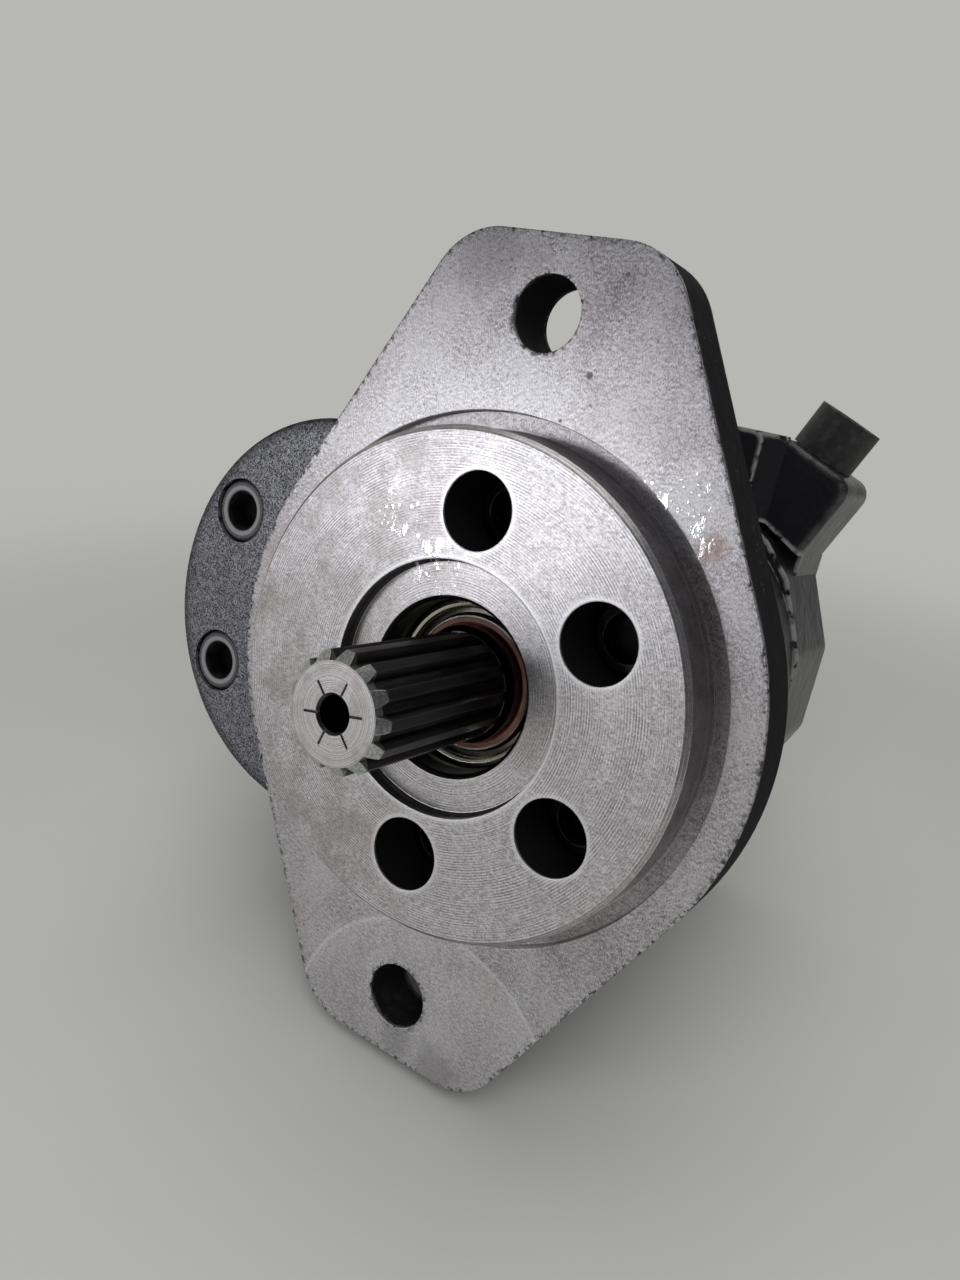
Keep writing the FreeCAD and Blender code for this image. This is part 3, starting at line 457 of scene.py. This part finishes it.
def metal(name, low, high, rough, size, depth, edge=None, streak=None):
    """Machined metal: two tones of grain, worn edges and light relief."""
    g = Graph(name)
    grain = g.noise(size, 4.0, 0.6, stretch=streak)
    cloud = g.noise(size * 14, 3.0)
    tone = g.step(g.plus(g.times(grain, 0.6), g.times(cloud, 0.4)), 0.32, 0.68)
    colour = g.mixed(tone, low, high)
    if edge:
        colour = g.mixed(g.times(g.edges(0.5), g.step(g.noise(1.1, 3.0), 0.40, 0.60)), colour, edge)
    normal = g.bump(grain, depth, g.rounded(0.18))
    return g.finish(colour, g.plus(rough - 0.06, g.times(cloud, 0.12)), 1.0, normal)


def cap_screws():
    """Black-oxide socket screws.  Those on the driven lobe were painted with the body."""
    g = Graph("cap_screw_black_oxide")
    grain = g.noise(0.4, 3.0)
    cloud = g.noise(5.0, 3.0)
    # Bright rims on the screw heads: edge wear and painted glints
    rim = g.times(g.edges(0.4), g.step(g.noise(1.3, 3.0), 0.35, 0.6))
    colour = g.mixed(g.step(cloud, 0.3, 0.7), (0.018, 0.018, 0.020), (0.045, 0.044, 0.046))
    colour = g.mixed(rim, colour, (0.85, 0.84, 0.82))
    on_lobe = g.below(g.x, -60.0, 1.0)
    painted = g.times(on_lobe, g.below(g.y, 4.4, 0.2))
    sheen = g.mixed(g.step(g.noise(0.5, 3.0, 0.7), 0.35, 0.7), (0.030, 0.030, 0.034), (0.11, 0.11, 0.12))
    colour = g.mixed(painted, colour, sheen)
    from_head = g.maths("MINIMUM", *(g.radius(x, z) for x, z in LOBE_SCREWS))
    # Painted highlight: a light grey ring on the painted heads around the socket
    ring = g.times(g.above(from_head, 4.7, 0.2), g.below(from_head, 5.9, 0.2), painted)
    colour = g.mixed(g.times(ring, 0.8), colour, (0.30, 0.30, 0.315))
    # Painted shade: the lobe screws' sockets painted near black
    socket = g.times(g.below(from_head, 4.8, 0.2), on_lobe)
    colour = g.mixed(socket, colour, (0.002, 0.002, 0.002))
    metallic = g.opposite(g.either(painted, socket))
    rough = g.either(g.plus(0.28, g.times(cloud, 0.14)), socket)
    normal = g.bump(g.plus(grain, g.times(g.noise(1.4, 3.0), painted)), 0.02, g.rounded(0.25))
    return g.finish(colour, rough, metallic, normal)


def rubber(name, low, high, rough):
    """Moulded rubber with fine grain, dust and a slightly paler edge."""
    g = Graph(name)
    grain = g.noise(0.22, 3.0, 0.6)
    cloud = g.noise(3.0, 3.0)
    colour = g.mixed(g.step(cloud, 0.3, 0.7), low, high)
    colour = g.mixed(g.times(g.edges(0.3), 0.35), colour, tuple(min(1.0, c * 2.5 + 0.02) for c in high))
    rough_now = g.plus(rough - 0.05, g.times(grain, 0.12))
    return g.finish(colour, rough_now, 0.0, g.bump(g.plus(grain, cloud), 0.03, g.rounded(0.15)))


def plug_plastic():
    """Matt black moulded plastic with scuffed edges and a few pale scratches."""
    g = Graph("plug_matt_black_plastic")
    grain = g.noise(0.35, 3.0, 0.6)
    cloud = g.noise(6.0, 3.0)
    scratch = g.times(g.step(g.noise(0.9, 3.0, 0.6, stretch=(0.15, 1.0, 1.0), turn=30.0), 0.66, 0.74), 0.5)
    edge = g.times(g.edges(0.5), g.step(g.noise(1.4, 3.0), 0.42, 0.60))
    rubbed = g.step(g.noise(2.6, 4.0, 0.65), 0.46, 0.68)
    colour = g.mixed(cloud, (0.012, 0.012, 0.013), (0.026, 0.025, 0.026))
    colour = g.mixed(g.times(rubbed, 0.6), colour, (0.055, 0.053, 0.053))
    colour = g.mixed(g.either(scratch, g.times(edge, 0.7)), colour, (0.11, 0.11, 0.11))
    rough = g.plus(g.blended(cloud, 0.44, 0.56), g.times(grain, 0.08))
    return g.finish(colour, rough, 0.0, g.bump(g.plus(grain, g.times(cloud, 0.5)), 0.035, g.rounded(0.3)))


def dress(materials):
    """Gives every CAD node its finish."""
    for node, material in materials.items():
        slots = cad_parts[node].material_slots
        for slot in slots:
            slot.material = material


def port_thread(name, side):
    """The thread in a main port: a helical ridge with sloping flanks on the bore's wall."""
    turns = (PORT_DEPTH - 3.0) / PORT_PITCH
    steps = 56
    count = int(turns * steps)
    outer, crest = PORT_R + 0.05, PORT_R - 0.62
    section = ((outer, -0.80), (crest, -0.16), (crest, 0.16), (outer, 0.80))
    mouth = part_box("rear_cover")[1].z / MM
    mesh = bmesh.new()
    rows = []
    for i in range(count + 1):
        angle = 2 * math.pi * i / steps
        depth = mouth - 1.4 - PORT_PITCH * i / steps
        fade = min(1.0, i / 20, (count - i) / 20)
        row = []
        for radius, rise in section:
            r = outer - (outer - radius) * fade
            point = (
                (MID_X + r * math.cos(angle)) * MM,
                (PORT_Y + side * r * math.sin(angle)) * MM,
                side * (depth + rise) * MM,
            )
            row.append(mesh.verts.new(point))
        rows.append(row)
    for a, b in zip(rows, rows[1:]):
        for j in range(len(section) - 1):
            mesh.faces.new((a[j], a[j + 1], b[j + 1], b[j]))
    bmesh.ops.recalc_face_normals(mesh, faces=mesh.faces)
    data = bpy.data.meshes.new(name)
    mesh.to_mesh(data)
    mesh.free()
    for face in data.polygons:
        face.use_smooth = False
    piece = bpy.data.objects.new(name, data)
    bpy.context.scene.collection.objects.link(piece)
    return piece


def floor_frame():
    """A point on the floor and its up direction, from the two edges that the part rests on."""
    front = Vector((0.0, FLANGE_BACK * MM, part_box("front_cover")[0].z))
    low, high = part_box("rear_cover")
    rear = Vector((0.0, high.y, low.z))
    along = (rear - front).normalized()
    up = Vector((1.0, 0.0, 0.0)).cross(along)
    return (front + rear) / 2 - up * 0.0004, up


def floor_material(centre, up):
    """Pale painted board that fades into the background away from the part."""
    g = Graph("floor_pale_board")
    offset = g.add("ShaderNodeVectorMath", operation="SUBTRACT")
    g.feed(offset.inputs[0], g.place)
    g.feed(offset.inputs[1], tuple(centre / MM))
    length = g.add("ShaderNodeVectorMath", operation="LENGTH")
    g.feed(length.inputs[0], offset.outputs[0])
    away = length.outputs["Value"]
    cloud = g.noise(60.0, 3.0)
    grain = g.noise(0.8, 3.0)
    tone = g.plus(g.times(cloud, 0.7), g.times(grain, 0.3))
    colour = g.mixed(tone, (0.615, 0.62, 0.60), (0.675, 0.68, 0.66))
    g.finish(colour, 0.55, 0.0, g.bump(grain, 0.02), 0.3)
    clear = g.add("ShaderNodeBsdfTransparent")
    fade = g.add("ShaderNodeMixShader")
    g.feed(fade.inputs[0], g.step(away, 190.0, 400.0))
    g.tree.links.new(g.shader.outputs[0], fade.inputs[1])
    g.tree.links.new(clear.outputs[0], fade.inputs[2])
    g.tree.links.new(fade.outputs[0], g.tree.nodes["Material Output"].inputs["Surface"])
    return g.material


def make_floor():
    centre, up = floor_frame()
    mesh = bmesh.new()
    bmesh.ops.create_circle(mesh, cap_ends=True, radius=0.45, segments=96)
    data = bpy.data.meshes.new("floor")
    mesh.to_mesh(data)
    mesh.free()
    data.transform(up.to_track_quat("Z", "X").to_matrix().to_4x4())
    for vertex in data.vertices:
        vertex.co += centre
    data.materials.append(floor_material(centre, up))
    floor = bpy.data.objects.new("floor", data)
    bpy.context.scene.collection.objects.link(floor)
    return up


def make_world(up):
    """Pale wall and floor tones all round.  What the part reflects is darker overhead and at +X."""
    world = bpy.data.worlds.new("soft_room")
    bpy.context.scene.world = world
    world.use_nodes = True
    tree = world.node_tree
    background = tree.nodes["Background"]

    def node(kind, **settings):
        made = tree.nodes.new(kind)
        for name, value in settings.items():
            setattr(made, name, value)
        return made

    def along(direction):
        dot = node("ShaderNodeVectorMath", operation="DOT_PRODUCT")
        tree.links.new(place.outputs["Generated"], dot.inputs[0])
        dot.inputs[1].default_value = direction
        return dot.outputs["Value"]

    def ramp(value, low, high):
        made = node("ShaderNodeMapRange", interpolation_type="SMOOTHSTEP")
        tree.links.new(value, made.inputs[0])
        made.inputs[1].default_value = low
        made.inputs[2].default_value = high
        return made.outputs[0]

    def mix(factor, first, second):
        made = node("ShaderNodeMix", data_type="RGBA")
        sockets = (made.inputs[0], made.inputs[6], made.inputs[7])
        for socket, value in zip(sockets, (factor, first, second)):
            if isinstance(value, bpy.types.NodeSocket):
                tree.links.new(value, socket)
            else:
                socket.default_value = value if isinstance(value, float) else (*value, 1.0)
        return made.outputs[2]

    place = node("ShaderNodeTexCoord")
    height = along(tuple(up))
    wall = mix(ramp(height, -0.55, -0.25), (0.375, 0.375, 0.355), (0.475, 0.475, 0.452))
    overhead = node("ShaderNodeMath", operation="MULTIPLY")
    tree.links.new(ramp(height, 0.14, 0.46), overhead.inputs[0])
    tree.links.new(ramp(along((0.0, -1.0, 0.0)), -0.2, 0.7), overhead.inputs[1])
    beside = node("ShaderNodeMath", operation="MULTIPLY")
    tree.links.new(ramp(height, -0.30, -0.10), beside.inputs[0])
    tree.links.new(ramp(along((1.0, 0.0, 0.0)), 0.02, 0.26), beside.inputs[1])
    room = mix(overhead.outputs[0], wall, (0.09, 0.09, 0.10))
    room = mix(beside.outputs[0], room, (0.10, 0.10, 0.105))
    seen = node("ShaderNodeLightPath").outputs["Is Camera Ray"]
    tree.links.new(mix(seen, room, wall), background.inputs["Color"])
    background.inputs["Strength"].default_value = 1.0


def area_light(name, direction, distance, size, power, colour, mirrored=True):
    """A soft panel light that faces the part's middle.  Metal reflects it only if mirrored."""
    low, high = cad_box
    target = (low + high) / 2
    target.y = PILOT_FACE * MM
    data = bpy.data.lights.new(name, "AREA")
    data.shape = "RECTANGLE"
    data.size, data.size_y = size
    data.energy = power
    data.color = colour
    light = bpy.data.objects.new(name, data)
    away = Vector(direction).normalized()
    light.location = target + away * distance
    light.rotation_euler = away.to_track_quat("Z", "Y").to_euler()
    light.visible_camera = False
    light.visible_glossy = mirrored
    bpy.context.scene.collection.objects.link(light)


def make_lights():
    area_light("window", (-0.50, -0.90, -0.02), 1.1, (0.38, 0.13), 1.25, (0.93, 0.95, 1.0))
    area_light("ceiling", (0.0, -0.05, 1.0), 1.3, (1.1, 1.1), 3.9, (1.0, 1.0, 0.98))
    area_light("fill", (0.40, -0.75, 0.60), 0.7, (0.6, 0.6), 2.5, (1.0, 1.0, 0.98), mirrored=False)


def make_camera():
    """The camera at the photographed view of the part: a wide lens, close to the shaft's end."""
    data = bpy.data.cameras.new("camera")
    data.lens = 27.0
    data.sensor_width = 36.0
    data.clip_start = 0.01
    camera = bpy.data.objects.new("camera", data)
    camera.location = (0.093664, -0.162235, 0.053346)
    camera.rotation_euler = Euler([math.radians(a) for a in (76.5365, -12.1646, 32.5703)])
    bpy.context.scene.collection.objects.link(camera)
    bpy.context.scene.camera = camera


body_paint = painted_body()
steel = shaft_steel()
nitrile = rubber("nitrile_black", (0.012, 0.012, 0.012), (0.022, 0.022, 0.022), 0.5)
block_alloy = metal("block_aluminium", (0.52, 0.52, 0.51), (0.72, 0.72, 0.70), 0.36, 0.5, 0.02)
bronze = metal("bushing_bronze", (0.38, 0.24, 0.11), (0.60, 0.42, 0.22), 0.34, 0.5, 0.02)
ptfe = rubber("backup_ring_ptfe", (0.62, 0.61, 0.57), (0.72, 0.71, 0.67), 0.45)
screws = cap_screws()
dress({
    "front_cover": cast_front(),
    "gear_housing": body_paint,
    "rear_cover": body_paint,
    "drive_gear_shaft": steel,
    "driven_gear_shaft": steel,
    "shaft_seal_case": metal(
        "seal_case_passivated", (0.42, 0.41, 0.32), (0.78, 0.76, 0.65), 0.22, 0.35, 0.008, (0.88, 0.87, 0.78)
    ),
    "shaft_seal_inner_case": metal("seal_inner_case_steel", (0.13, 0.12, 0.11), (0.30, 0.28, 0.26), 0.30, 0.35, 0.01),
    "shaft_seal_lip": rubber("seal_lip_brown_rubber", (0.15, 0.062, 0.048), (0.26, 0.11, 0.088), 0.28),
    "shaft_seal_garter_spring": metal("garter_spring_steel", (0.40, 0.40, 0.40), (0.66, 0.66, 0.65), 0.30, 0.3, 0.02),
    "dowel_pins": metal("dowel_pin_steel", (0.42, 0.42, 0.42), (0.66, 0.66, 0.66), 0.26, 0.4, 0.01),
    "front_cap_screws": screws,
    "rear_cap_screws": screws,
    "drain_port_plug": plug_plastic(),
    "front_section_seal": nitrile,
    "rear_section_seal": nitrile,
    "front_block_seal": nitrile,
    "rear_block_seal": nitrile,
    "front_block_backup_ring": ptfe,
    "rear_block_backup_ring": ptfe,
    "front_bushing_block": block_alloy,
    "rear_bushing_block": block_alloy,
    "front_drive_bushing": bronze,
    "front_driven_bushing": bronze,
    "rear_drive_bushing": bronze,
    "rear_driven_bushing": bronze,
})

thread_iron = metal("port_thread_iron", (0.14, 0.14, 0.14), (0.30, 0.295, 0.29), 0.36, 0.4, 0.02)
for thread_name, thread_side in (("upper_port_thread", 1), ("lower_port_thread", -1)):
    thread = port_thread(thread_name, thread_side)
    thread.data.materials.append(thread_iron)
    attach(thread, "motor_body")

make_camera()
floor_up = make_floor()
make_world(floor_up)
make_lights()
bpy.context.scene.view_settings.view_transform = "Standard"
